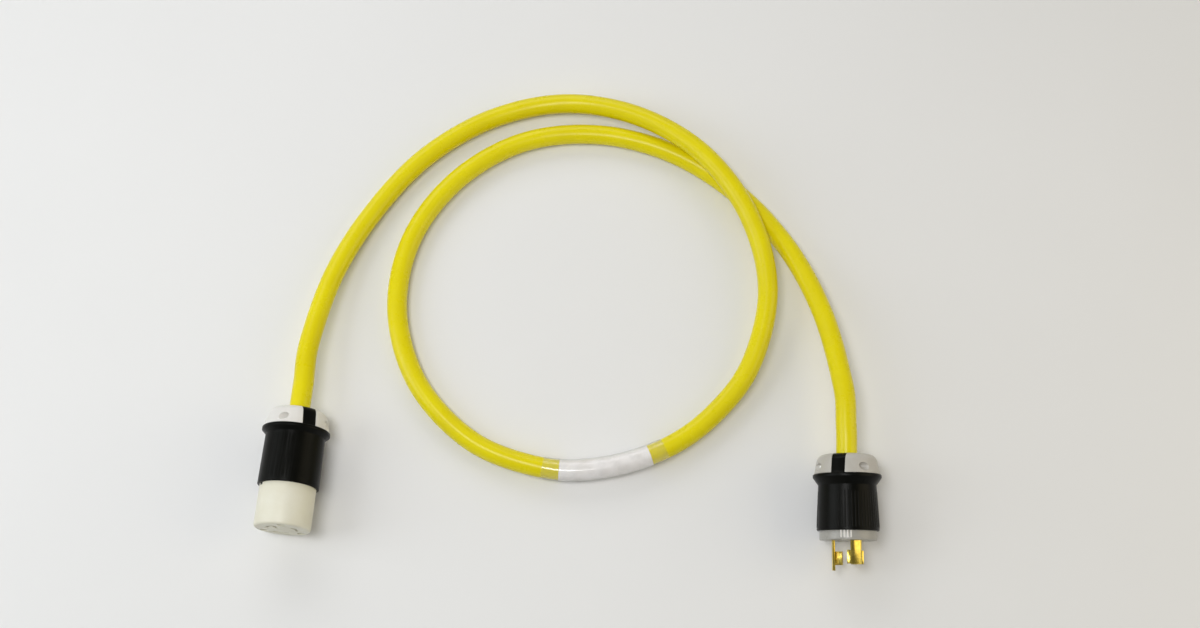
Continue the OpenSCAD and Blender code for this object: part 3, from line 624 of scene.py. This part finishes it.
def merged_node(node):
    """A CAD node's surface as one closed mesh, with its flat faces whole."""
    source = frame["nodes"][node].data
    bm = bmesh.new()
    corners = [bm.verts.new(v.co) for v in source.vertices]
    for face in source.polygons:
        bm.faces.new([corners[i] for i in face.vertices])
    bmesh.ops.remove_doubles(bm, verts=bm.verts, dist=SAME_POINT)
    bmesh.ops.dissolve_limit(bm, angle_limit=FLAT_ANGLE, verts=bm.verts, edges=bm.edges)
    return bm


def rounded(node, width, segments=2):
    """A CAD node with its sharp edges rounded off, standing for the node."""
    name = node + "_rounded"
    bm = merged_node(node)
    mesh = bpy.data.meshes.new(name)
    bm.to_mesh(mesh)
    bm.free()
    obj = added(name, mesh)
    edges = obj.modifiers.new("rounded", "BEVEL")
    edges.width = width * MM
    edges.segments = segments
    edges.limit_method = "ANGLE"
    edges.angle_limit = SHARP_ANGLE
    edges.use_clamp_overlap = True
    obj.data = plain_mesh(obj, name)
    obj.modifiers.clear()
    smooth(obj.data, SHARP_ANGLE)
    return settle(obj, SLOT_OF[node], BODY_OF[node], node, look=LOOK_OF[node])


# How wide the sharp edges of each kind of piece are rounded, in millimetres
EDGE_OF = {
    "shell": 0.35, "jaw_a": 0.5, "jaw_b": 0.5, "nose": 0.35, "face": 0.35,
    "ground_blade": 0.3, "hot_blade": 0.3, "neutral_blade": 0.3,
    "clamp_screw_1": 0.2, "clamp_screw_2": 0.2, "clamp_nuts": 0.2, "assembly_screws": 0.2,
}
for end in ENDS:
    for part, width in EDGE_OF.items():
        if f"{end}_{part}" in frame["nodes"]:
            rounded(f"{end}_{part}", width)

# ------------------------------------------------------------------ ribs


def rib_tree():
    """Geometry nodes: slim round-ended ribs along a line, turned about the axis in even zones."""
    tree = bpy.data.node_groups.new("ribs", "GeometryNodeTree")
    wanted = [
        ("Back", "NodeSocketVector"), ("Front", "NodeSocketVector"),
        ("Half width", "NodeSocketFloat"), ("Ribs in a zone", "NodeSocketInt"),
        ("Zones", "NodeSocketInt"), ("First turn", "NodeSocketFloat"),
        ("Turn between ribs", "NodeSocketFloat"), ("Finish", "NodeSocketMaterial"),
    ]
    for label, kind in wanted:
        tree.interface.new_socket(label, in_out="INPUT", socket_type=kind)
    tree.interface.new_socket("Ribs", in_out="OUTPUT", socket_type="NodeSocketGeometry")
    g = Shading(tree)
    given = g.node("NodeGroupInput").outputs
    line = g.node("GeometryNodeCurvePrimitiveLine", {"Start": given["Back"], "End": given["Front"]})
    line = g.node("GeometryNodeResampleCurve", {"Curve": line.outputs[0], "Count": 24})
    along = g.node("GeometryNodeSplineParameter").outputs["Factor"]
    from_end = g.math("MINIMUM", along, g.math("SUBTRACT", 1.0, along))
    swell = g.math("POWER", g.math("MULTIPLY", from_end, 14.0, clamp=True), 0.5)
    swell = g.math("MAXIMUM", swell, 0.25)
    line = g.node("GeometryNodeSetCurveRadius", {"Curve": line.outputs[0], "Radius": swell})
    section = g.node(
        "GeometryNodeCurvePrimitiveCircle", {"Resolution": 12, "Radius": given["Half width"]}
    )
    rib = g.node(
        "GeometryNodeCurveToMesh",
        {"Curve": line.outputs[0], "Profile Curve": section.outputs[0], "Fill Caps": True},
    )
    if "Scale" in rib.inputs:
        tree.links.new(swell, rib.inputs["Scale"])
    count = g.math("MULTIPLY", given["Ribs in a zone"], given["Zones"])
    points = g.node("GeometryNodePoints", {"Count": count})
    index = g.node("GeometryNodeInputIndex").outputs[0]
    zone = g.math("FLOOR", g.math("DIVIDE", index, given["Ribs in a zone"]))
    place = g.math("MODULO", index, given["Ribs in a zone"])
    zone_turn = g.math("MULTIPLY", zone, g.math("DIVIDE", 2 * math.pi, given["Zones"]))
    turn = g.math("MULTIPLY", place, given["Turn between ribs"])
    turn = g.math("ADD", g.math("ADD", turn, zone_turn), given["First turn"])
    spin = g.node("ShaderNodeCombineXYZ", {"Z": turn}).outputs[0]
    ribs = g.node(
        "GeometryNodeInstanceOnPoints",
        {"Points": points.outputs[0], "Instance": rib.outputs[0], "Rotation": spin},
    )
    ribs = g.node("GeometryNodeRealizeInstances", {"Geometry": ribs.outputs[0]})
    ribs = g.node("GeometryNodeSetShadeSmooth", {"Geometry": ribs.outputs[0], "Shade Smooth": True})
    ribs = g.node(
        "GeometryNodeSetMaterial", {"Geometry": ribs.outputs[0], "Material": given["Finish"]}
    )
    g.node("NodeGroupOutput", {"Ribs": ribs.outputs[0]})
    return tree


RIBS = rib_tree()


def ribs(name, end, slot, back, front, half_width, count, zones, first, step):
    """Ribs on a device. back and front are (radius, place along the axis) in millimetres, and
    the turns are in degrees about the device's axis from its level +X."""
    obj = added(name, bpy.data.meshes.new(name))
    ring = obj.modifiers.new("ribs", "NODES")
    ring.node_group = RIBS
    values = {
        "Back": (back[0] * MM, 0, back[1] * MM), "Front": (front[0] * MM, 0, front[1] * MM),
        "Half width": half_width * MM, "Ribs in a zone": count, "Zones": zones,
        "First turn": math.radians(first), "Turn between ribs": math.radians(step),
        "Finish": FINISH[slot],
    }
    for item in RIBS.interface.items_tree:
        if item.in_out == "INPUT":
            ring[item.identifier] = values[item.name]
    obj.data = plain_mesh(obj, name)
    obj.modifiers.clear()
    obj.data.transform(AXES[end])
    smooth(obj.data, math.radians(60))
    return settle(obj, slot, ROOT)


# The grip: a ribbed zone on each side of the shell, with smooth panels between them
ribs(
    "plug_grip_ribs", "plug", "black_nylon",
    back=(PLUG_REAR_D / 2 - 0.80, PLUG_SHELL_BACK + 2.5),
    front=(PLUG_FRONT_D / 2 - 0.74, PLUG_SHELL_FRONT - 0.4),
    half_width=1.0, count=19, zones=2, first=-2.0, step=6.6,
)
# Four slim bars on the rim of the face, in the white nylon: lighter than the painted-shade copy on
# the face around them
ribs(
    "plug_face_ribs", "plug", "white_nylon",
    back=(PLUG_FACE_D / 2 - 0.2, PLUG_SHELL_FRONT - 0.3),
    front=(PLUG_FACE_D / 2 - 0.2, PLUG_SHELL_FRONT + 6.2),
    half_width=0.75, count=4, zones=1, first=92.8, step=6.6,
)

# ------------------------------------------------------------------ floor, lamps and world


def floor():
    """A pale painted floor that fades into the room's own pale colour far from the object."""
    bm = bmesh.new()
    bmesh.ops.create_grid(bm, x_segments=1, y_segments=1, size=6)
    mesh = bpy.data.meshes.new("floor")
    bm.to_mesh(mesh)
    bm.free()
    plane = added("floor", mesh)
    plane.location.z = -0.0002
    s, shader = finish_of("floor_paint")
    skin = placed(s, GRAIN, grain_size=0.004, tone_size=0.4)
    feed(s, shader, Base_Color=s.mix(skin["Tone"], rgb(0.78, 0.78, 0.77), rgb(0.80, 0.80, 0.79)))
    where = s.node("ShaderNodeTexCoord").outputs["Object"]
    away = s.node("ShaderNodeVectorMath", {0: where}, operation="LENGTH").outputs["Value"]
    feed(s, shader, Roughness=0.65, Alpha=s.remap(away, 1.0, 2.0, 1.0, 0.0))
    mesh.materials.append(FINISH["floor_paint"])


def lamp(name, place, aim, size, watts, colour=(1, 1, 1)):
    """A soft rectangular lamp at a place, turned to what it lights."""
    data = bpy.data.lights.new(name, "AREA")
    data.shape = "RECTANGLE"
    data.size, data.size_y = size
    data.energy = watts
    data.color = colour
    obj = bpy.data.objects.new(name, data)
    bpy.context.collection.objects.link(obj)
    obj.location = place
    obj.rotation_euler = (Vector(aim) - Vector(place)).to_track_quat("-Z", "Y").to_euler()


def world():
    """A pale room with a dim ceiling: it shows light, and lights the object less than it shows."""
    room = bpy.data.worlds.new("pale_room")
    room.use_nodes = True
    s = Shading(room.node_tree)
    sky = room.node_tree.nodes["Background"]
    ray = s.node("ShaderNodeLightPath").outputs
    heading = s.node("ShaderNodeTexCoord").outputs["Generated"]
    height = s.node("ShaderNodeSeparateXYZ", {0: heading}).outputs[2]
    walls = s.mix(s.remap(height, 0.15, 0.75), rgb(0.50, 0.50, 0.50), rgb(0.14, 0.14, 0.14))
    strength = s.mix(ray["Is Glossy Ray"], rgb(0.22, 0.22, 0.22), walls)
    strength = s.mix(ray["Is Camera Ray"], strength, rgb(0.86, 0.86, 0.86))
    s.tree.links.new(strength, sky.inputs["Strength"])
    sky.inputs["Color"].default_value = rgb(0.97, 0.98, 1.0)
    bpy.context.scene.world = room


floor()
world()
lamp("overhead", (-0.35, -0.20, 2.0), (0, 0.12, 0), (1.1, 0.4), watts=17)
lamp("back_soft", (-0.5, 1.5, 1.0), (0, 0.15, 0), (1.6, 0.9), watts=9, colour=(0.99, 0.99, 1.0))
lamp("left_soft", (-1.5, 0.0, 0.9), (-0.1, 0.1, 0), (0.8, 1.2), watts=9, colour=(0.93, 0.97, 1.0))
lamp("right_soft", (1.5, 0.0, 0.8), (0.1, 0.1, 0), (0.9, 1.3), watts=6.5, colour=(1.0, 0.86, 0.58))
bpy.context.scene.view_settings.view_transform = "Standard"
